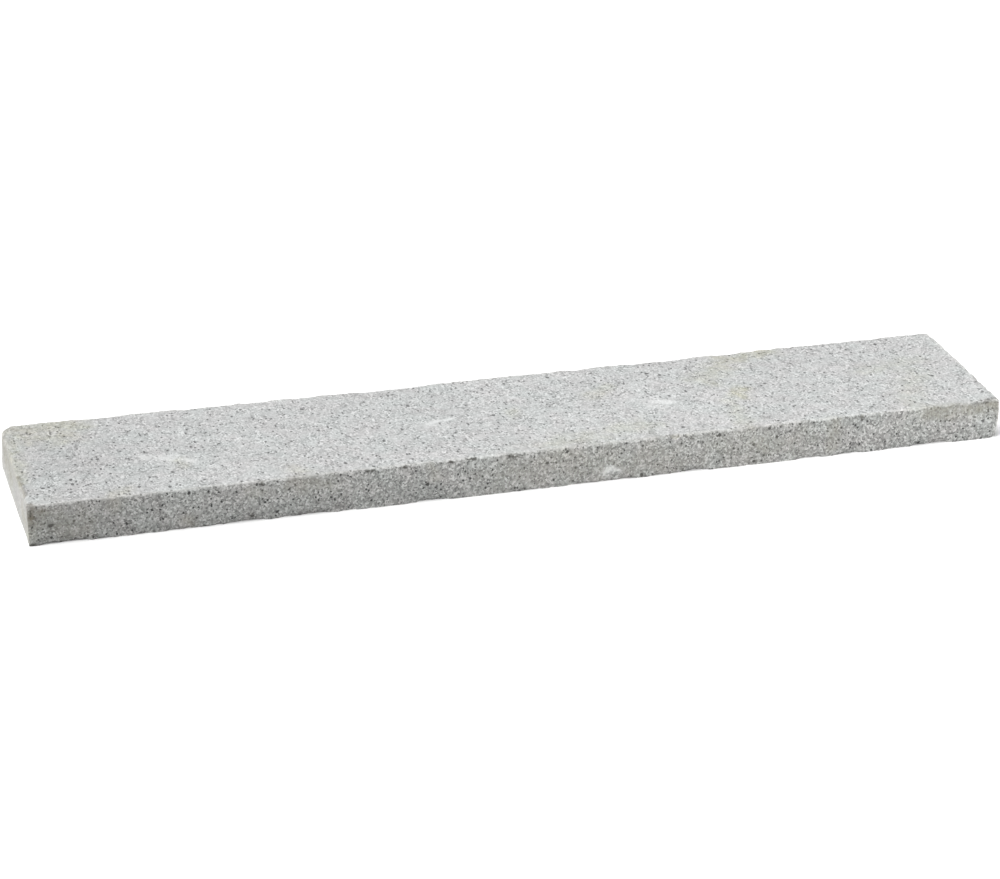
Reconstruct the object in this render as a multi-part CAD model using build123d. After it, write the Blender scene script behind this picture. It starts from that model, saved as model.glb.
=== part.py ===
from build123d import *

import os
from dataclasses import dataclass
from math import hypot, sin

# Granite kerb stone: one sawn slab with eased top arrises, a knocked corner and flaked edges.
# Millimetres. X runs along the stone, Y from its front face to its back face, and Z up.
# The origin is the middle of the bed face, which lies on the ground.

# The slab
LENGTH = 1000.0
WIDTH = 200.0
THICKNESS = 41.5

# How far the top's rim is eased
TOP_ARRIS = 0.8

# What the upright corners have lost at the top, along the side and across the end, and how high a
# sharp sawn corner is left below
CORNER_LOSS = 1.6
KNOCKED_ALONG = 12.0
KNOCKED_ACROSS = 24.0
CORNER_FOOT = 8.0

# The largest flakes: length along the arris, reach onto the level face, reach down the side face
FLAKE_SPAN = 84.0
FLAKE_BITE = 6.0
FLAKE_DROP = 20.0

# Small nicks in a row along each arris, on average one for each pitch, clear of its ends
NICK_PITCH = 42.0
NICK_SPAN = 18.0
NICK_BITE = 1.4
NICK_DROP = 1.4
NICK_CLEARANCE = 16.0

# Cutters stand this far outside the faces that they cut
OVERRUN = 5.0

# Each flake: its arris, its place along the arris, then shares of the largest span, bite and drop
FLAKE_SHARES = (
    ("front_top", 0.228, 0.11, 0.37, 0.20),
    ("front_top", 0.336, 0.17, 0.30, 0.11),
    ("front_top", 0.412, 0.14, 0.53, 0.15),
    ("front_top", 0.437, 0.12, 0.57, 0.17),
    ("front_top", 0.450, 0.90, 0.42, 0.13),
    ("front_top", 0.480, 0.19, 0.60, 0.20),
    ("front_top", 0.650, 0.16, 1.00, 0.26),
    ("front_top", 0.663, 0.12, 0.67, 0.17),
    ("front_top", 0.736, 0.43, 0.28, 0.58),
    ("front_top", 0.766, 0.43, 0.28, 0.64),
    ("front_top", 0.826, 0.07, 0.40, 0.20),
    ("front_top", 0.838, 0.36, 0.40, 0.17),
    ("front_top", 0.850, 0.07, 0.40, 0.20),
    ("front_top", 0.869, 0.08, 0.33, 0.20),
    ("front_top", 0.937, 0.40, 0.33, 0.75),
    ("front_top", 0.962, 0.43, 0.36, 1.00),
    ("front_top", 0.965, 1.00, 0.38, 0.30),
    ("front_top", 0.987, 0.36, 0.36, 0.84),
    ("left_top", 0.230, 0.80, 0.50, 0.26),
    ("left_top", 0.600, 0.38, 0.30, 0.14),
    ("back_top", 0.305, 0.20, 0.36, 0.09),
    ("back_top", 0.425, 0.66, 0.40, 0.10),
    ("back_top", 0.603, 0.24, 0.50, 0.11),
    ("right_top", 0.550, 0.30, 0.24, 0.08),
    ("front_bed", 0.020, 0.25, 0.50, 0.16),
    ("front_bed", 0.337, 0.11, 0.25, 0.07),
    ("front_bed", 0.497, 0.17, 0.37, 0.10),
    ("front_bed", 0.560, 0.45, 0.43, 0.08),
    ("back_bed", 0.280, 0.60, 0.60, 0.18),
    ("back_bed", 0.830, 0.39, 0.50, 0.20),
)

# How far nicks stray from even places and even sizes, and the turn in radians from one to the next
NICK_STRAY_SHARE = 0.42
NICK_SIZE_STRAY_SHARE = 0.45
NICK_TURN = 2.4

# Where a corner's cut bulges to, from the lost corner to its two reaches
CORNER_BULGE_SHARE = 0.36


@dataclass
class Arris:
    """An edge between a side face and a level face, with the way that each of them looks."""

    start: Vector
    end: Vector
    side_normal: Vector
    level_normal: Vector

    def flake(self, along_share, span, bite, drop):
        """The ball whose cut meets the arris over a span, and reaches a bite and a drop beyond it."""
        half = span / 2
        outward = (half**2 / bite - bite) / 2
        upward = (half**2 / drop - drop) / 2
        foot = self.start + (self.end - self.start) * along_share
        middle = foot + self.side_normal * outward + self.level_normal * upward
        return Pos(middle) * Sphere(hypot(half, outward, upward))

    def nicks(self, phase):
        """Small flakes in an uneven row along the arris, which leave its two ends whole."""
        length = (self.end - self.start).length
        count = max(1, round(length / NICK_PITCH))
        end_share = NICK_CLEARANCE / length
        row = []
        for number in range(count):
            turn = phase + number * NICK_TURN
            row_share = (number + 0.5 + NICK_STRAY_SHARE * sin(turn)) / count
            along_share = end_share + (1 - 2 * end_share) * row_share
            size_share = 1 + NICK_SIZE_STRAY_SHARE * sin(turn * NICK_TURN)
            span, bite, drop = (size * size_share for size in (NICK_SPAN, NICK_BITE, NICK_DROP))
            row.append(self.flake(along_share, span, bite, drop))
        return row


def slab_arrises():
    """The eight long arrises round the top and the bed, by name."""
    sides = {
        "front": (Vector(0, -1, 0), Vector(-1, -1, 0), Vector(1, -1, 0)),
        "back": (Vector(0, 1, 0), Vector(-1, 1, 0), Vector(1, 1, 0)),
        "left": (Vector(-1, 0, 0), Vector(-1, -1, 0), Vector(-1, 1, 0)),
        "right": (Vector(1, 0, 0), Vector(1, -1, 0), Vector(1, 1, 0)),
    }
    levels = {"top": (THICKNESS, Vector(0, 0, 1)), "bed": (0, Vector(0, 0, -1))}

    def corner(sign, height):
        return Vector(sign.X * LENGTH / 2, sign.Y * WIDTH / 2, height)

    return {
        f"{side}_{level}": Arris(corner(first, height), corner(last, height), normal, level_normal)
        for side, (normal, first, last) in sides.items()
        for level, (height, level_normal) in levels.items()
    }


def corner_loss(side_x, side_y, along, across):
    """What is missing outside an upright corner: a round cut that leans out, and so ends above the bed."""
    out_x = Vector(side_x, 0, 0)
    out_y = Vector(0, side_y, 0)
    corner = Vector(side_x * LENGTH / 2, side_y * WIDTH / 2, THICKNESS + OVERRUN)
    lean = (out_x * along + out_y * across) * CORNER_BULGE_SHARE
    on_side = corner - out_x * along
    on_end = corner - out_y * across
    outside = (
        on_side + out_y * OVERRUN,
        corner + (out_x + out_y) * OVERRUN,
        on_end + out_x * OVERRUN,
    )
    rim = Polyline(on_side, *outside, on_end) + ThreePointArc(on_end, corner - lean, on_side)
    way_down = lean - Vector(0, 0, corner.Z - CORNER_FOOT)
    return extrude(make_face(rim), way_down.length, way_down.normalized())


def kerb_stone():
    """The whole stone, as one solid."""
    slab = Box(LENGTH, WIDTH, THICKNESS, align=(Align.CENTER, Align.CENTER, Align.MIN))
    slab -= [
        corner_loss(-1, 1, KNOCKED_ALONG, KNOCKED_ACROSS),
        corner_loss(-1, -1, CORNER_LOSS, CORNER_LOSS),
        corner_loss(1, -1, CORNER_LOSS, CORNER_LOSS),
        corner_loss(1, 1, CORNER_LOSS, CORNER_LOSS),
    ]
    slab = chamfer(slab.faces().sort_by(Axis.Z)[-1].edges(), TOP_ARRIS)

    arrises = slab_arrises()
    cuts = [
        arrises[name].flake(along, span * FLAKE_SPAN, bite * FLAKE_BITE, drop * FLAKE_DROP)
        for name, along, span, bite, drop in FLAKE_SHARES
    ]
    for phase, arris in enumerate(arrises.values()):
        cuts += arris.nicks(phase)
    return slab - cuts


if __name__ == "__main__":
    os.makedirs("parts", exist_ok=True)
    export_step(kerb_stone(), os.path.join("parts", "kerb_stone.step"))
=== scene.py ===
from math import exp, radians
from typing import NamedTuple

import bmesh
import bpy
from bpy.props import FloatProperty, FloatVectorProperty, PointerProperty
from bpy.types import NodeSocket, Operator, Panel, PropertyGroup
from mathutils import Euler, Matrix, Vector, noise


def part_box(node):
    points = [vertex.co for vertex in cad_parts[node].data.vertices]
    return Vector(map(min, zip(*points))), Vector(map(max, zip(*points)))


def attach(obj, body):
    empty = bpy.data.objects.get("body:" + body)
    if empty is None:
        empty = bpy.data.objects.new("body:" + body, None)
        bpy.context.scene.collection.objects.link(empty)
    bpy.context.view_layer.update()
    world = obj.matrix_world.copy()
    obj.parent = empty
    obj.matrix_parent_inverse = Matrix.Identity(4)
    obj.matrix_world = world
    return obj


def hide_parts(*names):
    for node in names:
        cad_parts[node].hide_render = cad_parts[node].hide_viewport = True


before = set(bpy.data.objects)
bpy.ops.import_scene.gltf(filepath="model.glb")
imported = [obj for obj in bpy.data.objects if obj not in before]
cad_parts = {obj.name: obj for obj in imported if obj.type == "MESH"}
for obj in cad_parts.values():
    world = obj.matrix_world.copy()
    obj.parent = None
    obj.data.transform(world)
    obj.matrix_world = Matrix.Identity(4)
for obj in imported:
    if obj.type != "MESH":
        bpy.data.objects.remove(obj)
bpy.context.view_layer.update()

bl_info = {
    "name": "Granite kerb stone",
    "version": (1, 0, 0),
    "blender": (4, 5, 0),
    "location": "View3D > Sidebar > Kerb stone",
    "description": "Dresses a sawn granite slab as a worn kerb stone and lays it on a studio floor",
    "category": "Object",
}

MM = 0.001
NODE = "kerb_stone"
PIECE = "dressed_stone"
LOW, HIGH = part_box(NODE)

# How many finer steps soft noise has, unless it says otherwise
SOFT_DETAIL = 3.0


class Patches(NamedTuple):
    """Soft noise: how wide its patches are, which levels of it are stretched, and onto what"""

    width: float
    levels: tuple
    onto: tuple
    detail: float = SOFT_DETAIL


class Coat(NamedTuple):
    """What covers the stone up to a frayed border: the fraying, the sums it fades in between, its cover"""

    fray_width: float
    fray_depth: float
    edge: tuple
    cover: float


# Sizes of the shape

# Points of the sawn solid closer than this are one point
MERGE_DISTANCE = 0.01 * MM

# How often the remesh halves the stone's length to come down to its skin's faces
SKIN_DEPTH = 9

# A flake scar begins this far under the plain slab's faces, and is whole from the second depth on
SCAR_DEPTHS = (0.9 * MM, 2.2 * MM)

# How far from an arris its worn stone fades
ARRIS_WIDTH = 2.2 * MM

# How far a face's normal points up where the flamed top begins, and where it is whole
FLAMED_SLOPES = (0.45, 0.85)

# How far it points along the stone where a sawn end begins, and where it is whole
SAWN_SLOPES = (0.60, 0.90)

# Strength of a rough face's broad and fine swells, and how many fine ones fit in a broad one
BROAD_SWELL = 0.65
FINE_SWELL = 0.35
FINE_PER_BROAD = 2.3

# How much small breaks take from an arris everywhere, in long runs and in short chips
EVEN_BREAK = 0.2
LONG_BREAK = 1.5
LONG_BREAK_SIZE = 30 * MM
SHORT_BREAK = 0.7
SHORT_BREAK_SIZE = 8 * MM

# Breaks of this share leave the top's rim and the sides' foot where the plain slab has them
USUAL_RIM_BREAK = 0.3
USUAL_FOOT_BREAK = 0.15

# Shares of the foot's breaks that the sawn ends and the long sides have
FOOT_BREAK_SHARES = (0.1, 1.0)

# How far the foot's breaks reach under the stone, and worn corners up it, in heights of the foot
FOOT_REACH = 2
CORNER_REACH = 3

# Where along the stone its thicker back left corner ends
HEEL_END = -100 * MM

# Roughness grows from nothing at the sawn bed to its whole depth this far above it
BED_FADE = 4 * MM

# Faces that meet more steeply than this meet in a crisp edge
CRISP_ANGLE = radians(34)

# Faces that meet more steeply than this have folded over. Each round evens them out by a share
FOLD_ANGLE = radians(110)
UNFOLD_SHARE = 0.5
UNFOLD_ROUNDS = 40

# Stains by finish: from one place to another and their half width, in millimetres, and strength
STAINS = (
    ("chalk", (-369, -14, 41), (-350, -18, 41), 11, 0.78),
    ("chalk", (-345, -23, 41), (-330, -32, 41), 9, 0.72),
    ("chalk", (-83, -4, 41), (-76, -2, 41), 5, 0.80),
    ("chalk", (-73, 0, 41), (-56, 5, 41), 6, 0.95),
    ("chalk", (155, -13, 41), (170, -11, 41), 13, 0.88),
    ("chalk", (-25, -22, 41), (-19, -24, 41), 7, 0.65),
    ("chalk", (-240, -81, 41), (-231, -84, 41), 9, 0.60),
    ("chalk", (-469, -100, 34), (-463, -100, 33), 6, 0.48),
    ("chalk", (74, -100, 9), (86, -100, 8), 7, 0.70),
    # This chalk row is a painted highlight: light catching the ledge under the right end's spall
    ("chalk", (426, -100, 25), (488, -100, 18), 5, 0.44),
    ("lime", (-488, 92, 41), (-425, 90, 41), 15, 0.75),
    ("lime", (-484, 66, 41), (-438, 62, 41), 18, 0.65),
    ("lime", (-496, 60, 41), (-498, -45, 41), 8, 0.60),
    ("lime", (-500, 72, 30), (-500, 22, 22), 14, 0.65),
    ("lime", (-500, -62, 20), (-500, -96, 14), 13, 0.55),
    ("lime", (-340, -28, 41), (-339, -45, 41), 7, 0.40),
    ("lime", (-414, -90, 41), (-400, -87, 41), 8, 0.50),
    ("lime", (-236, -80, 41), (-228, -88, 41), 9, 0.55),
    ("lime", (10, 9, 41), (8, -6, 41), 7, 0.45),
    ("lime", (98, 22, 41), (120, 42, 41), 9, 0.45),
    ("lime", (22, -86, 41), (68, -84, 41), 14, 0.42),
    ("lime", (100, -68, 41), (130, -66, 41), 15, 0.45),
    ("lime", (226, 34, 41), (260, 78, 41), 15, 0.60),
    ("lime", (262, 84, 41), (308, 94, 41), 15, 0.75),
    ("lime", (252, 0, 41), (246, -18, 41), 9, 1.00),
    ("lime", (232, -30, 41), (228, -92, 41), 9, 0.40),
    ("lime", (395, 12, 41), (455, 30, 41), 13, 0.32),
    ("lime", (440, -5, 41), (408, -88, 41), 15, 0.34),
    # Darkening rows: darker patches on the left end, the top's left part and the front's left end, and
    # bands along the front, one low near its foot
    ("darkening", (-500, 82, 34), (-500, 30, 26), 15, 0.90),
    ("darkening", (-492, 88, 41), (-478, 88, 41), 13, 0.75),
    ("darkening", (-465, 10, 41), (-425, -50, 41), 60, 0.55),
    ("darkening", (-488, -100, 20), (-420, -100, 20), 20, 0.45),
    ("darkening", (-380, -100, 8), (-45, -100, 8), 8, 0.75),
    ("darkening", (0, -100, 16), (390, -100, 16), 5, 0.45),
    ("olive", (-480, -100, 22), (-454, -100, 20), 15, 0.40),
    ("olive", (-420, -100, 35), (-418, -100, 30), 8, 0.45),
    ("olive", (-349, -100, 9), (-344, -100, 6), 6, 0.55),
    ("olive", (-283, -100, 32), (-273, -100, 31), 6, 0.40),
    ("olive", (-246, -100, 34), (-205, -100, 32), 8, 0.40),
    ("olive", (-101, -100, 36), (-99, -100, 24), 6, 0.45),
    ("olive", (-30, -100, 22), (150, -100, 16), 22, 0.32),
    ("olive", (190, -100, 24), (280, -100, 20), 18, 0.28),
    ("olive", (234, -100, 27), (247, -100, 18), 9, 0.45),
    ("olive", (320, -100, 34), (318, -100, 10), 7, 0.50),
    # This olive row is partly painted shade: the shade in the right end's concave spall, with its brownish
    # tint
    ("olive", (422, -100, 36), (494, -100, 34), 7.5, 0.80),
    ("rust", (-497, -100, 38), (-497, -100, 29), 5, 1.00),
    ("rust", (-494, -100, 35), (-484, -100, 35), 5, 0.65),
    ("rust", (-498, -28, 41), (-499, -74, 41), 2.5, 0.75),
    # Grime rows: mostly painted shade in the nicks under the front's top arris, along the front-left foot
    # and at the spall's corner, partly grime
    ("shade_and_grime", (-273, -100, 39), (-271, -100, 39), 2.4, 0.95),
    ("shade_and_grime", (-282, -100, 5), (-281, -100, 6), 3.0, 0.85),
    ("shade_and_grime", (-479, -100, 19), (-477, -100, 21), 3.0, 0.75),
    ("shade_and_grime", (-170, -100, 40), (-158, -100, 40), 2, 0.70),
    ("shade_and_grime", (-130, -100, 39), (-128, -100, 39), 2, 0.85),
    ("shade_and_grime", (-92, -100, 39), (-80, -100, 39), 2, 0.75),
    ("shade_and_grime", (-67, -100, 40), (-59, -100, 40), 2, 0.90),
    ("shade_and_grime", (-26, -100, 38), (-14, -100, 38), 3, 0.60),
    ("shade_and_grime", (147, -100, 38), (153, -100, 35), 4, 0.60),
    ("shade_and_grime", (160, -100, 39), (166, -100, 37), 4, 0.50),
    ("shade_and_grime", (325, -100, 39), (327, -100, 39), 2, 0.75),
    ("shade_and_grime", (329, -100, 40), (347, -100, 39), 3, 0.45),
    ("shade_and_grime", (350, -100, 39), (350, -100, 35), 2.4, 0.85),
    ("shade_and_grime", (368, -100, 39), (371, -100, 39), 2, 0.75),
    ("shade_and_grime", (484, -98, 40), (498, -98, 40), 4, 0.58),
    ("shade_and_grime", (-498, -100, 0), (-464, -100, 0), 2.6, 0.80),
    ("shade_and_grime", (-498, -100, 37), (-497, -100, 32), 2.6, 0.60),
)

# How far the stains' borders stray, as a share of their half width, and the size of one bay in them
STAIN_STRAY_SHARE = 0.9
STAIN_STRAY_SIZE = 15 * MM

# How far the stray of one direction is taken from that of the next, in bays
STAIN_STRAY_APART = Vector((0, 0, 9))

# A stain is looked for this many half widths beyond its ends
STAIN_REACH = 2

FINISHES = ("flamed", "sawn", "scar", "arris", "chalk", "lime", "darkening", "olive", "rust", "shade_and_grime")

# Values of the finish

# The middle level of soft noise
NOISE_MIDDLE = 0.5

# How many grains fit in a length along X, Y and Z, against an even grain
GRAIN_LIE = (1.08, 0.74, 1.0)

# How far the grains' borders wander, in widths of a grain, and in how many finer steps
WANDER_SHARE = 0.9
WANDER_DETAIL = 2.0

# Where in the chance numbers of the grains smoky quartz, quartz, feldspar and milky feldspar begin
MINERAL_STARTS = (0.00, 0.14, 0.42, 0.80)

# How much clusters of smoky quartz, and the flame's crust, cover
CLUSTERS = Patches(3.4 * MM, (0.54, 0.70), (0.0, 0.64), detail=2.0)
CRUST = Patches(11 * MM, (0.38, 0.64), (0.13, 0.62), detail=2.0)

# Small and large mica flecks: their size in grains, and how many of such grains are mica
MICA_FLECKS = ((1.6, 0.064), (2.6, 0.008))

# Where from its middle a fleck's edge begins and ends, and how well it covers plain and flamed stone
FLECK_EDGE = (0.35, 0.60)
FLECK_COVERS = (0.97, 0.71)

# How far the saw's polish evens out the ends' grain
POLISH_SHARE = 0.60

# Light and dark in broad and in small patches, and patches from cool to warm
BROAD_SHADE = Patches(70 * MM, (0.3, 0.7), (0.945, 1.005))
SMALL_SHADE = Patches(9 * MM, (0.3, 0.7), (0.96, 1.04))
WARMTH = Patches(26 * MM, (0.35, 0.65), (0.0, 1.0))
COOL_TINT = (0.982, 1.0, 0.995)
WARM_TINT = (1.0, 0.984, 0.985)

# Contrast and tint of the long sides against the top: partly their own unflamed stone, partly painted
# shade, as they face away from the key light
SIDE_GAMMA = 1.08
SIDE_TINT_AND_SHADE = (0.716, 0.712, 0.694)

# How much worn stone shows on the arrises of the sawn ends and of the flamed top
SAWN_WEAR = 0.65
FLAMED_WEAR = 0.30

# Chalk lies in smears with an edge, and painted shade, partly grime, fills the nicks
CHALK_COAT = Coat(6 * MM, 0.5, (0.30, 0.80), 0.62)
SHADE_AND_GRIME_COAT = Coat(2.5 * MM, 0.8, (0.32, 0.62), 0.90)

# How well stains soak in from place to place, and how far scars take on the olive one, a weathered tint
# that also paints shade in their hollows
SOAK = Patches(5 * MM, (0.3, 0.7), (0.45, 1.0))
SCAR_OLIVE_AND_SHADE_SHARE = 0.60

# Between these covers of a fleck, roughness goes from the stone's to the mica's
FLECK_GLOSS_COVERS = (0.2, 0.6)
ROUGHNESSES = (0.86, 0.55)
SPECULAR_LEVEL = 0.35

# Relief of the grain: its fine grit, the grains' fall from their middles, the mica's sink, and its height
GRIT_SIZE = 0.9 * MM
GRIT_DETAIL = 4.0
GRAIN_FALL = 0.7
MICA_SINK = 0.4
RELIEF_HEIGHT = 0.4 * MM
RELIEF_STRENGTH = 0.55

# Sockets of a mix of colours: its share, its two colours and its result
MIX_SHARE = 0
MIX_FIRST = 6
MIX_SECOND = 7
MIX_RESULT = 2

# Sizes of the stage

# A floor that is wider than any view of the stone
FLOOR_SIDE = 30.0
FLOOR_ROUGHNESS = 0.9

# Where the key light shines from, seen from the stone's middle, and how wide it looks from there
KEY_FROM = Vector((-0.42, 0.06, 0.90))
KEY_SPREAD = radians(58)

# Where the fill panel hangs, and how long its sides are
FILL_PLACE = Vector((0.45, -1.2, 0.35))
FILL_SIZE = 0.7

# The pale surroundings are white
SKY_COLOUR = (1.0, 1.0, 1.0)


class StoneShape(PropertyGroup):
    """How fine the stone's skin is, and how rough each of its faces"""

    skin: FloatProperty(
        name="Skin", description="Width of the faces in the stone's even skin",
        default=2.35 * MM, min=1 * MM, unit="LENGTH", precision=4)
    flamed_relief: FloatProperty(
        name="Flamed relief", description="Depth of the flamed top's roughness",
        default=0.45 * MM, min=0, unit="LENGTH", precision=5)
    side_relief: FloatProperty(
        name="Side relief", description="Depth of the long sides' roughness",
        default=0.55 * MM, min=0, unit="LENGTH", precision=5)
    sawn_relief: FloatProperty(
        name="Sawn relief", description="Depth of the sawn ends' roughness",
        default=0.12 * MM, min=0, unit="LENGTH", precision=5)
    scar_relief: FloatProperty(
        name="Scar relief", description="Depth of the roughness inside flake scars",
        default=0.60 * MM, min=0, unit="LENGTH", precision=5)
    rim_break: FloatProperty(
        name="Rim break", description="How far small breaks eat into the top's rim",
        default=1.4 * MM, min=0, unit="LENGTH", precision=5)
    rim_reach: FloatProperty(
        name="Rim reach", description="How far from the top's rim its small breaks reach",
        default=4.0 * MM, min=0.1 * MM, unit="LENGTH", precision=4)
    foot_break: FloatProperty(
        name="Foot break", description="How far small breaks eat into the foot of the sides",
        default=5.6 * MM, min=0, unit="LENGTH", precision=5)
    corner_break: FloatProperty(
        name="Corner break", description="How far the foot of the right end's corners is worn away",
        default=2.2 * MM, min=0, unit="LENGTH", precision=5)
    foot_height: FloatProperty(
        name="Foot height", description="How far up the sides the breaks at their foot reach",
        default=8.0 * MM, min=0.1 * MM, unit="LENGTH", precision=4)
    heel: FloatProperty(
        name="Heel", description="How far the top's back left corner stands above the rest",
        default=2.3 * MM, min=0, unit="LENGTH", precision=5)
    roughness_size: FloatProperty(
        name="Roughness size", description="Width of one swell in the faces' roughness",
        default=9.0 * MM, min=1 * MM, unit="LENGTH", precision=4)


class GraniteFinish(PropertyGroup):
    """The minerals of the granite, and what lies on it"""

    grain: FloatProperty(
        name="Grain", description="Width of a pale mineral grain",
        default=1.7 * MM, min=0.2 * MM, unit="LENGTH", precision=4)
    feldspar: FloatVectorProperty(
        name="Feldspar", description="Colour of the pale grains",
        default=(0.400, 0.405, 0.403), size=3, min=0, max=1, subtype="COLOR")
    milky: FloatVectorProperty(
        name="Milky feldspar", description="Colour of the whitest grains",
        default=(0.53, 0.536, 0.534), size=3, min=0, max=1, subtype="COLOR")
    smoky: FloatVectorProperty(
        name="Smoky quartz", description="Colour of the darker glassy grains",
        default=(0.19, 0.192, 0.191), size=3, min=0, max=1, subtype="COLOR")
    quartz: FloatVectorProperty(
        name="Quartz", description="Colour of the glassy grey grains",
        default=(0.29, 0.294, 0.292), size=3, min=0, max=1, subtype="COLOR")
    biotite: FloatVectorProperty(
        name="Biotite", description="Colour of the dark mica flecks",
        default=(0.03, 0.03, 0.03), size=3, min=0, max=1, subtype="COLOR")
    crust: FloatVectorProperty(
        name="Crust", description="Colour of the shattered crystals on the flamed top",
        default=(0.41, 0.415, 0.414), size=3, min=0, max=1, subtype="COLOR")
    fresh: FloatVectorProperty(
        name="Fresh stone", description="Colour of the worn arrises",
        default=(0.56, 0.553, 0.515), size=3, min=0, max=1, subtype="COLOR")
    polish: FloatVectorProperty(
        name="Polish", description="Colour that the sawn ends' grains draw near",
        default=(0.440, 0.430, 0.412), size=3, min=0, max=1, subtype="COLOR")
    chalk: FloatVectorProperty(
        name="Chalk", description="Colour of the white smears",
        default=(0.56, 0.568, 0.564), size=3, min=0, max=1, subtype="COLOR")
    lime: FloatVectorProperty(
        name="Lime", description="Tint of the cream and beige stains",
        default=(0.87, 0.85, 0.68), size=3, min=0, max=1, subtype="COLOR")
    olive: FloatVectorProperty(
        name="Olive", description="Colour of the weathered stains on the sides and in the scars",
        default=(0.190, 0.183, 0.150), size=3, min=0, max=1, subtype="COLOR")
    darkening: FloatVectorProperty(
        name="Darkening", description="Tint of the darker patches",
        default=(0.80, 0.80, 0.80), size=3, min=0, max=1, subtype="COLOR")
    # The grime colour is mostly painted shade in the nicks, partly grime
    shade_and_grime: FloatVectorProperty(
        name="Shade and grime", description="Colour of the dirt in the nicks",
        default=(0.04, 0.038, 0.034), size=3, min=0, max=1, subtype="COLOR")
    rust: FloatVectorProperty(
        name="Rust", description="Colour of the brown stains",
        default=(0.105, 0.090, 0.062), size=3, min=0, max=1, subtype="COLOR")


class StageSetup(PropertyGroup):
    """The camera, the lights and the floor"""

    lens: FloatProperty(
        name="Lens", description="Focal length on a sensor 36 mm wide",
        default=119.42, min=1, unit="CAMERA")
    azimuth: FloatProperty(
        name="Azimuth", description="How far round the camera stands from the front",
        default=radians(-15.840), subtype="ANGLE")
    elevation: FloatProperty(
        name="Elevation", description="How far above the floor the camera looks from",
        default=radians(22.709), subtype="ANGLE")
    distance: FloatProperty(
        name="Distance", description="From the camera to the middle of the stone's bed",
        default=3.3935, min=0.1, unit="LENGTH")
    aim: FloatVectorProperty(
        name="Aim", description="How far right and up the picture's middle is from the bed's",
        default=(40.62 * MM, 12.68 * MM), size=2, unit="LENGTH", precision=4)
    shift: FloatProperty(
        name="Shift", description="How far the lens is shifted sideways, in widths of the picture",
        default=-0.0451, min=-0.1, max=0.1, precision=4)
    key: FloatProperty(
        name="Key", description="Strength of the wide soft light above the left end",
        default=4.95, min=0)
    fill: FloatProperty(
        name="Fill", description="Power of the panel in front of the right end",
        default=13.0, min=0, unit="POWER")
    sky: FloatProperty(
        name="Sky", description="Brightness of the studio's pale surroundings",
        default=0.12, min=0)
    floor: FloatVectorProperty(
        name="Floor", description="Colour of the floor",
        default=(0.92, 0.92, 0.92), size=3, min=0, max=1, subtype="COLOR")


# Shape


def clamped(value):
    """A value held between 0 and 1."""
    return min(1.0, max(0.0, value))


def fading(gap, reach):
    """A share that falls from 1 where there is no gap to nothing at the reach."""
    return max(0.0, 1 - gap / reach)


def ramp_share(value, limits):
    """How far a value is from the first limit to the second, eased, from 0 to 1."""
    start, end = limits
    share = clamped((value - start) / (end - start))
    return share * share * (3 - 2 * share)


def face_gaps(point):
    """How far a point is from the nearer face of the plain slab along X, Y and Z."""
    return [min(point[i] - LOW[i], HIGH[i] - point[i]) for i in range(3)]


def swells(point, size):
    """Noise of two widths, from about -1 to 1."""
    place = point / size
    return BROAD_SWELL * noise.noise(place) + FINE_SWELL * noise.noise(place * FINE_PER_BROAD)


def skinned_copy(node, skin):
    """A merged copy of the sawn solid, under an even skin of small faces."""
    solid = bpy.data.meshes.new(PIECE)
    sawn = bmesh.new()
    sawn.from_mesh(node.data)
    bmesh.ops.remove_doubles(sawn, verts=sawn.verts, dist=MERGE_DISTANCE)
    sawn.to_mesh(solid)
    sawn.free()
    stone = bpy.data.objects.new(PIECE, solid)
    bpy.context.scene.collection.objects.link(stone)
    remesh = stone.modifiers.new("Even skin", "REMESH")
    remesh.mode = "SHARP"
    remesh.octree_depth = SKIN_DEPTH
    remesh.scale = max(HIGH - LOW) / (2**SKIN_DEPTH * skin)
    remesh.use_remove_disconnected = False
    depsgraph = bpy.context.evaluated_depsgraph_get()
    stone.data = bpy.data.meshes.new_from_object(stone.evaluated_get(depsgraph))
    stone.data.name = PIECE
    stone.modifiers.clear()
    bpy.data.meshes.remove(solid)
    return stone


def stain_lines():
    """The stains in metres, each from its left end to its right end."""
    for finish, first, last, half_width, strength in STAINS:
        start, end = sorted((Vector(first) * MM, Vector(last) * MM), key=lambda place: place.x)
        yield finish, start, end, half_width * MM, strength


STAIN_LINES = tuple(stain_lines())


def line_gap(point, start, end):
    """How far a point is from a line between two ends."""
    run = end - start
    share = (point - start).dot(run) / max(run.length_squared, MERGE_DISTANCE**2)
    return (point - start - run * clamped(share)).length


def stain_stray(point):
    """Where a stain's border strays to at a point, in half widths of the stain."""
    place = point / STAIN_STRAY_SIZE
    across = place.yzx + STAIN_STRAY_APART
    stray = Vector((noise.noise(place), noise.noise(across), noise.noise(-across)))
    return stray * STAIN_STRAY_SHARE


def finish_shares(point, normal):
    """How much of each finish the stone has at a point of its skin."""
    depth, arris_gap, _ = sorted(face_gaps(point))
    shares = dict.fromkeys(FINISHES, 0.0)
    shares["scar"] = ramp_share(depth, SCAR_DEPTHS)
    shares["flamed"] = ramp_share(normal.z, FLAMED_SLOPES) * (1 - shares["scar"])
    shares["sawn"] = ramp_share(abs(normal.x), SAWN_SLOPES)
    shares["arris"] = exp(-((arris_gap / ARRIS_WIDTH) ** 2))
    stray = stain_stray(point)
    for finish, start, end, half_width, strength in STAIN_LINES:
        reach = STAIN_REACH * half_width
        if start.x - reach < point.x < end.x + reach:
            away = line_gap(point + stray * half_width, start, end) / half_width
            shares[finish] = max(shares[finish], strength * exp(-away * away))
    return shares


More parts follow.
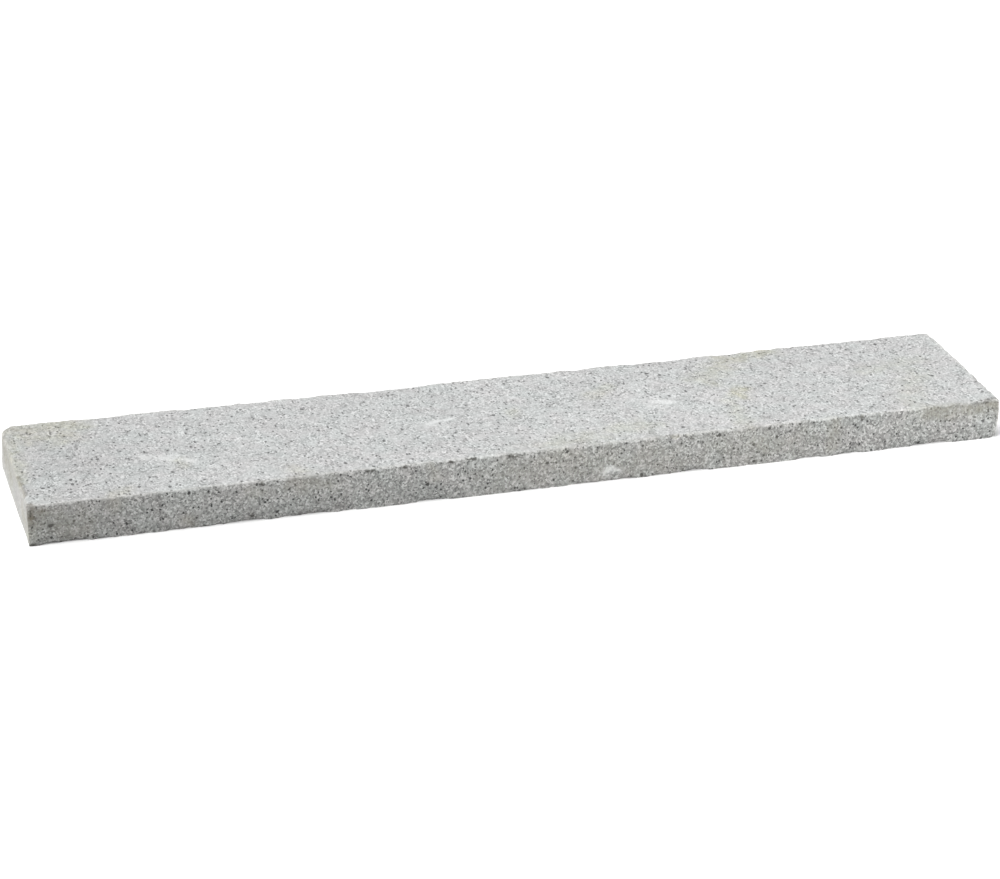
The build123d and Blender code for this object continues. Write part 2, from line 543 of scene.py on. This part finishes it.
def raggedness(point):
    """How much of the stone small breaks have taken near a point of an arris, from 0 to 1."""
    long_break = LONG_BREAK * noise.noise(point / LONG_BREAK_SIZE)
    return clamped(EVEN_BREAK + long_break + SHORT_BREAK * swells(point, SHORT_BREAK_SIZE))


def rim_loss(point, shape):
    """How deep small breaks have eaten into the rim of the top, less their usual depth."""
    gap_x, gap_y, _ = face_gaps(point)
    rim_share = fading(max(min(gap_x, gap_y), HIGH.z - point.z), shape.rim_reach)
    if not rim_share:
        return 0.0
    return shape.rim_break * rim_share * (raggedness(point) - USUAL_RIM_BREAK)


def foot_loss(point, shape):
    """The way from what is left of the sides' foot out to the slab's, longest at the right corners."""
    height = point.z - LOW.z
    gaps = face_gaps(point)[:2]
    low_share = fading(height, shape.foot_height)
    corner_depth = 0.0
    if point.x > 0:
        corner_depth = shape.corner_break * fading(max(gaps), shape.foot_height)
        corner_depth *= fading(height, CORNER_REACH * shape.foot_height)
    loss = Vector((0, 0, 0))
    for axis, gap in enumerate(gaps):
        fade = fading(gap, FOOT_REACH * shape.foot_height)
        if fade and low_share + corner_depth:
            outward = 1 if point[axis] > 0 else -1
            on_side = point.copy()
            on_side[axis] = HIGH[axis] if outward > 0 else LOW[axis]
            depth = shape.foot_break * low_share * (raggedness(on_side) - USUAL_FOOT_BREAK)
            loss[axis] = outward * (corner_depth + depth * FOOT_BREAK_SHARES[axis]) * fade
    return loss


def heel_lift(point, shape):
    """How far the stone, which is thicker at its back left corner, stands above an even slab."""
    left_share = clamped((HEEL_END - point.x) / (HEEL_END - LOW.x))
    back_share = (point.y - LOW.y) / (HIGH.y - LOW.y)
    return shape.heel * left_share * back_share * (point.z - LOW.z) / (HIGH.z - LOW.z)


def relief_depth(point, shares, shape):
    """How deep the roughness is at a point of the skin, by its finishes."""
    depth = shape.side_relief
    depth += (shape.flamed_relief - depth) * shares["flamed"]
    depth += (shape.sawn_relief - depth) * shares["sawn"]
    depth += (shape.scar_relief - depth) * shares["scar"]
    return depth * min(1.0, (point.z - LOW.z) / BED_FADE)


def weathered_place(point, normal, shares, shape):
    """Where a point of the skin comes to lie on the rough and broken stone, never below its bed."""
    lift = relief_depth(point, shares, shape) * swells(point, shape.roughness_size)
    lift -= rim_loss(point, shape)
    place = point + normal * lift - foot_loss(point, shape)
    place.z = max(place.z + heel_lift(point, shape), LOW.z)
    return place


def unfold(skin):
    """Evens out the few places where moved faces have folded over."""
    bmesh.ops.triangulate(skin, faces=skin.faces)
    for _ in range(UNFOLD_ROUNDS):
        skin.normal_update()
        folded = [edge for edge in skin.edges if edge.calc_face_angle(0.0) > FOLD_ANGLE]
        if not folded:
            break
        ends = list(dict.fromkeys(vert for edge in folded for vert in edge.verts))
        bmesh.ops.smooth_vert(
            skin, verts=ends, factor=UNFOLD_SHARE, use_axis_x=True, use_axis_y=True, use_axis_z=True)


def weather(stone, shape):
    """Roughens each face in its own way, eats into the arrises and notes where each finish lies."""
    skin = bmesh.new()
    skin.from_mesh(stone.data)
    skin.normal_update()
    layers = {name: skin.verts.layers.float.new(name) for name in FINISHES}
    for vert in skin.verts:
        shares = finish_shares(vert.co, vert.normal)
        for name, layer in layers.items():
            vert[layer] = shares[name]
        vert.co = weathered_place(vert.co, vert.normal, shares, shape)
    unfold(skin)
    for face in skin.faces:
        face.smooth = True
    skin.to_mesh(stone.data)
    skin.free()
    stone.data.set_sharp_from_angle(angle=CRISP_ANGLE)


# Finish


def add(tree, kind, inputs=None, **settings):
    """A new node with its settings, and its inputs set to values or joined to other sockets."""
    made = tree.nodes.new(kind)
    for name, value in settings.items():
        setattr(made, name, value)
    for key, value in (inputs or {}).items():
        if isinstance(value, NodeSocket):
            tree.links.new(value, made.inputs[key])
        else:
            made.inputs[key].default_value = value
    return made


def calc(tree, operation, first, second, clamp=False):
    """One sum of two values."""
    made = add(tree, "ShaderNodeMath", {0: first, 1: second}, operation=operation, use_clamp=clamp)
    return made.outputs[0]


def blend(tree, share, first, second, way="MIX"):
    """Two colours mixed by a share."""
    made = add(tree, "ShaderNodeMix", {MIX_SHARE: share, MIX_FIRST: first, MIX_SECOND: second},
               data_type="RGBA", blend_type=way)
    return made.outputs[MIX_RESULT]


def opaque(colour):
    """A colour with nothing showing through it."""
    return (*colour, 1.0)


def stepped(tree, share, starts, colours):
    """Whole patches of colour: each holds from its own start up to the next one's."""
    made = add(tree, "ShaderNodeValToRGB", {0: share})
    ramp = made.color_ramp
    ramp.interpolation = "CONSTANT"
    while len(ramp.elements) < len(starts):
        ramp.elements.new(1.0)
    for element, start, colour in zip(ramp.elements, starts, colours):
        element.position = start
        element.color = opaque(colour)
    return made.outputs[0]


def spread(tree, value, levels, onto):
    """A value stretched from one range onto another, and held inside it."""
    made = add(tree, "ShaderNodeMapRange", dict(enumerate((value, *levels, *onto))))
    return made.outputs[0]


def mottle(tree, place, width, detail):
    """Soft noise whose patches are about as wide as asked: its level and its colour."""
    made = add(tree, "ShaderNodeTexNoise", {"Vector": place, "Scale": 1 / width, "Detail": detail})
    return made.outputs


def patches(tree, place, kind):
    """Soft noise stretched onto the range that its kind of patches has."""
    level = mottle(tree, place, kind.width, kind.detail)["Fac"]
    return spread(tree, level, kind.levels, kind.onto)


def grains(tree, place, width):
    """Angular grains of a width: a chance number for each, and how far a point is from its middle."""
    cells = add(tree, "ShaderNodeTexVoronoi", {"Vector": place, "Scale": 1 / width})
    chance = add(tree, "ShaderNodeSeparateColor", {0: cells.outputs["Color"]})
    return chance.outputs[0], cells.outputs["Distance"]


def share_of(tree, finish):
    """How much of a finish the skin carries, as its mesh notes it."""
    return add(tree, "ShaderNodeAttribute", attribute_name=finish).outputs["Fac"]


def part_of(tree, finish, share):
    """A part of how much of a finish the skin carries."""
    return calc(tree, "MULTIPLY", share_of(tree, finish), share)


def wandering(tree, place, grain):
    """Places that wander about, so that no grain is a plain cell."""
    drift = mottle(tree, place, grain, WANDER_DETAIL)["Color"]
    centred = add(tree, "ShaderNodeVectorMath", {0: drift, 1: [NOISE_MIDDLE] * 3}, operation="SUBTRACT")
    wander = add(tree, "ShaderNodeVectorMath", {0: centred.outputs[0], "Scale": WANDER_SHARE * grain},
                 operation="SCALE")
    return add(tree, "ShaderNodeVectorMath", {0: place, 1: wander.outputs[0]}).outputs[0]


def mineral_ground(tree, bent, chance, look):
    """A ground of pale and glassy grains, with smoky quartz in ragged clusters."""
    colour = stepped(tree, chance, MINERAL_STARTS, (look.smoky, look.quartz, look.feldspar, look.milky))
    return blend(tree, patches(tree, bent, CLUSTERS), colour, opaque(look.smoky))


def mica_cover(tree, bent, grain):
    """Mica lies in small flecks and in a few large ones, which show less on the flamed top."""
    flecks = []
    for size, share in MICA_FLECKS:
        chance, gap = grains(tree, bent, size * grain)
        is_mica = calc(tree, "LESS_THAN", chance, share)
        flecks.append(calc(tree, "MULTIPLY", is_mica, spread(tree, gap, FLECK_EDGE, (1.0, 0.0))))
    strength = spread(tree, share_of(tree, "flamed"), (0.0, 1.0), FLECK_COVERS)
    return calc(tree, "MULTIPLY", calc(tree, "MAXIMUM", *flecks), strength)


def shade_patches(tree, colour, place):
    """Light and dark, warm and cool patches."""
    shade = calc(tree, "MULTIPLY", patches(tree, place, BROAD_SHADE), patches(tree, place, SMALL_SHADE))
    shaded = add(tree, "ShaderNodeCombineColor", {0: shade, 1: shade, 2: shade}).outputs[0]
    colour = blend(tree, 1.0, colour, shaded, "MULTIPLY")
    tint = blend(tree, patches(tree, place, WARMTH), opaque(COOL_TINT), opaque(WARM_TINT))
    return blend(tree, 1.0, colour, tint, "MULTIPLY")


def darken_sides_with_painted_shade(tree, colour):
    """Long sides and flake scars were never flamed and are a little darker; the rest of their darkening is
    painted shade.
    """
    dressed = calc(tree, "ADD", share_of(tree, "flamed"), share_of(tree, "sawn"))
    side = calc(tree, "SUBTRACT", 1.0, dressed, clamp=True)
    deeper = add(tree, "ShaderNodeGamma", {0: colour, 1: SIDE_GAMMA}).outputs[0]
    return blend(tree, side, colour, blend(tree, 1.0, deeper, opaque(SIDE_TINT_AND_SHADE), "MULTIPLY"))


def wear_arrises(tree, colour, fresh):
    """Arrises wear to pale stone, most of all round the ends."""
    wear = calc(tree, "MAXIMUM", part_of(tree, "sawn", SAWN_WEAR), part_of(tree, "flamed", FLAMED_WEAR))
    wear = calc(tree, "MULTIPLY", wear, share_of(tree, "arris"))
    return blend(tree, wear, colour, opaque(fresh))


def lay_coat(tree, colour, place, finish, coat, laid):
    """Chalk, or painted shade and grime, which covers the stone up to a frayed border."""
    fray = mottle(tree, place, coat.fray_width, SOFT_DETAIL)["Fac"]
    fray = calc(tree, "MULTIPLY", calc(tree, "SUBTRACT", fray, NOISE_MIDDLE), coat.fray_depth)
    cover = spread(tree, calc(tree, "ADD", share_of(tree, finish), fray), coat.edge, (0.0, coat.cover))
    return blend(tree, cover, colour, opaque(laid))


def soak_stains(tree, colour, place, look):
    """Stains soak in between the grains, and scars take on the olive stain, partly as a weathered tint,
    partly as painted shade.
    """
    soak = patches(tree, place, SOAK)
    # Scars take on olive, partly as painted shade in their hollows
    olive = calc(tree, "MAXIMUM", share_of(tree, "olive"), part_of(tree, "scar", SCAR_OLIVE_AND_SHADE_SHARE))
    stains = (
        (share_of(tree, "lime"), look.lime, "MULTIPLY"),
        # The darkening tint makes patches darker, among them a band near the front's foot
        (share_of(tree, "darkening"), look.darkening, "MULTIPLY"),
        (olive, look.olive, "MIX"),
        (share_of(tree, "rust"), look.rust, "MIX"),
    )
    for share, stain, way in stains:
        soaked = calc(tree, "MULTIPLY", share, soak, clamp=True)
        colour = blend(tree, soaked, colour, opaque(stain), way)
    return colour


def grain_relief(tree, place, ground_gap, fleck):
    """Each grain stands a little proud and mica lies deeper, with fine grit over all."""
    grit = mottle(tree, place, GRIT_SIZE, GRIT_DETAIL)["Fac"]
    height = calc(tree, "SUBTRACT", grit, calc(tree, "MULTIPLY", ground_gap, GRAIN_FALL))
    height = calc(tree, "SUBTRACT", height, calc(tree, "MULTIPLY", fleck, MICA_SINK))
    bump = add(tree, "ShaderNodeBump",
               {"Strength": RELIEF_STRENGTH, "Distance": RELIEF_HEIGHT, "Height": height})
    return bump.outputs[0]


def granite_finish(look):
    """Fine grey granite: its minerals, the flamed crust, worn arrises, stains and the grain's relief."""
    material = bpy.data.materials.new("flamed_granite")
    material.use_nodes = True
    tree = material.node_tree
    place = add(tree, "ShaderNodeTexCoord").outputs["Object"]
    lie = add(tree, "ShaderNodeMapping", {"Vector": place, "Scale": GRAIN_LIE}).outputs[0]
    bent = wandering(tree, lie, look.grain)
    ground, ground_gap = grains(tree, bent, look.grain)
    fleck = mica_cover(tree, bent, look.grain)

    # The flame leaves a pale crust of shattered crystals in smooth patches, and a saw polishes the ends
    colour = mineral_ground(tree, bent, ground, look)
    crust = calc(tree, "MULTIPLY", share_of(tree, "flamed"), patches(tree, lie, CRUST))
    colour = blend(tree, crust, colour, opaque(look.crust))
    colour = blend(tree, fleck, colour, opaque(look.biotite))
    colour = blend(tree, part_of(tree, "sawn", POLISH_SHARE), colour, opaque(look.polish))

    # Then come the stone's random light and dark patches, the painted shade of the long sides, its wear
    # and what lies on it, with painted shade in the nicks and scars and a painted highlight on a ledge
    colour = shade_patches(tree, colour, place)
    # Painted shade: the long sides come out darker than their stone alone
    colour = darken_sides_with_painted_shade(tree, colour)
    colour = wear_arrises(tree, colour, look.fresh)
    colour = lay_coat(tree, colour, place, "chalk", CHALK_COAT, look.chalk)
    colour = soak_stains(tree, colour, place, look)
    # Painted shade, partly grime, darkens the nicks, the chips and the front-left foot
    colour = lay_coat(tree, colour, place, "shade_and_grime", SHADE_AND_GRIME_COAT, look.shade_and_grime)

    shader = tree.nodes["Principled BSDF"]
    tree.links.new(colour, shader.inputs["Base Color"])
    tree.links.new(spread(tree, fleck, FLECK_GLOSS_COVERS, ROUGHNESSES), shader.inputs["Roughness"])
    tree.links.new(grain_relief(tree, place, ground_gap, fleck), shader.inputs["Normal"])
    shader.inputs["Specular IOR Level"].default_value = SPECULAR_LEVEL
    return material


class KERB_OT_dress_stone(Operator):
    """Gives the sawn slab its worn skin and its granite finish"""

    bl_idname = "kerb.dress_stone"
    bl_label = "Dress the stone"

    def execute(self, context):
        stone = skinned_copy(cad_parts[NODE], context.scene.kerb_shape.skin)
        weather(stone, context.scene.kerb_shape)
        stone.data.materials.clear()
        stone.data.materials.append(granite_finish(context.scene.kerb_finish))
        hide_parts(NODE)
        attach(stone, "root")
        return {"FINISHED"}


# Stage


def lay_floor(colour):
    """A pale level floor under the bed face."""
    mesh = bpy.data.meshes.new("studio_floor")
    sheet = bmesh.new()
    bmesh.ops.create_grid(sheet, x_segments=1, y_segments=1, size=FLOOR_SIDE / 2)
    sheet.to_mesh(mesh)
    sheet.free()
    floor = bpy.data.objects.new("studio_floor", mesh)
    bpy.context.scene.collection.objects.link(floor)
    paint = bpy.data.materials.new("floor_paint")
    paint.use_nodes = True
    shader = paint.node_tree.nodes["Principled BSDF"]
    shader.inputs["Base Color"].default_value = opaque(colour)
    shader.inputs["Roughness"].default_value = FLOOR_ROUGHNESS
    shader.inputs["Specular IOR Level"].default_value = 0.0
    mesh.materials.append(paint)


def hang_light(kind, name, place, aim, strength):
    """A light at a place, turned to what it lights."""
    lamp = bpy.data.lights.new(name, kind)
    lamp.energy = strength
    holder = bpy.data.objects.new(name, lamp)
    holder.location = place
    holder.rotation_euler = (aim - place).to_track_quat("-Z", "Y").to_euler()
    bpy.context.scene.collection.objects.link(holder)
    return lamp


def light_sky(strength):
    """Even pale light from all round."""
    world = bpy.data.worlds.new("studio")
    world.use_nodes = True
    backing = world.node_tree.nodes["Background"]
    backing.inputs["Color"].default_value = opaque(SKY_COLOUR)
    backing.inputs["Strength"].default_value = strength
    bpy.context.scene.world = world


def place_camera(setup):
    """The camera where the photograph was taken from, level and with nothing out of focus."""
    lens = bpy.data.cameras.new("camera")
    lens.lens = setup.lens
    lens.shift_x = setup.shift
    camera = bpy.data.objects.new("camera", lens)
    turn = Euler((radians(90) - setup.elevation, 0, setup.azimuth))
    camera.rotation_euler = turn
    camera.location = turn.to_matrix() @ Vector((*setup.aim, setup.distance))
    bpy.context.scene.collection.objects.link(camera)
    bpy.context.scene.camera = camera


class KERB_OT_set_stage(Operator):
    """Lays the floor, hangs the lights and places the camera"""

    bl_idname = "kerb.set_stage"
    bl_label = "Set the stage"

    def execute(self, context):
        setup = context.scene.kerb_stage
        middle = (LOW + HIGH) / 2
        right_front = Vector((HIGH.x, LOW.y, middle.z))
        lay_floor(setup.floor)
        key = hang_light("SUN", "key_light", middle + KEY_FROM, middle, setup.key)
        key.angle = KEY_SPREAD
        fill = hang_light("AREA", "fill_panel", FILL_PLACE, right_front, setup.fill)
        fill.size = FILL_SIZE
        light_sky(setup.sky)
        place_camera(setup)
        context.scene.view_settings.view_transform = "Standard"
        return {"FINISHED"}


# Add-on

GROUPS = {"kerb_shape": StoneShape, "kerb_finish": GraniteFinish, "kerb_stage": StageSetup}
OPERATORS = (KERB_OT_dress_stone, KERB_OT_set_stage)


class KERB_PT_stone(Panel):
    """The stone's sizes, colours and stage"""

    bl_idname = "KERB_PT_stone"
    bl_label = "Granite kerb stone"
    bl_space_type = "VIEW_3D"
    bl_region_type = "UI"
    bl_category = "Kerb stone"

    def draw(self, context):
        for name, group in GROUPS.items():
            column = self.layout.column()
            for setting in group.__annotations__:
                column.prop(getattr(context.scene, name), setting)
        for operator in OPERATORS:
            self.layout.operator(operator.bl_idname)


CLASSES = (*GROUPS.values(), *OPERATORS, KERB_PT_stone)


def register():
    for kind in CLASSES:
        bpy.utils.register_class(kind)
    for name, group in GROUPS.items():
        setattr(bpy.types.Scene, name, PointerProperty(type=group))


def unregister():
    for name in GROUPS:
        delattr(bpy.types.Scene, name)
    for kind in reversed(CLASSES):
        bpy.utils.unregister_class(kind)


def main():
    register()
    bpy.ops.kerb.dress_stone()
    bpy.ops.kerb.set_stage()


if __name__ == "__main__":
    main()
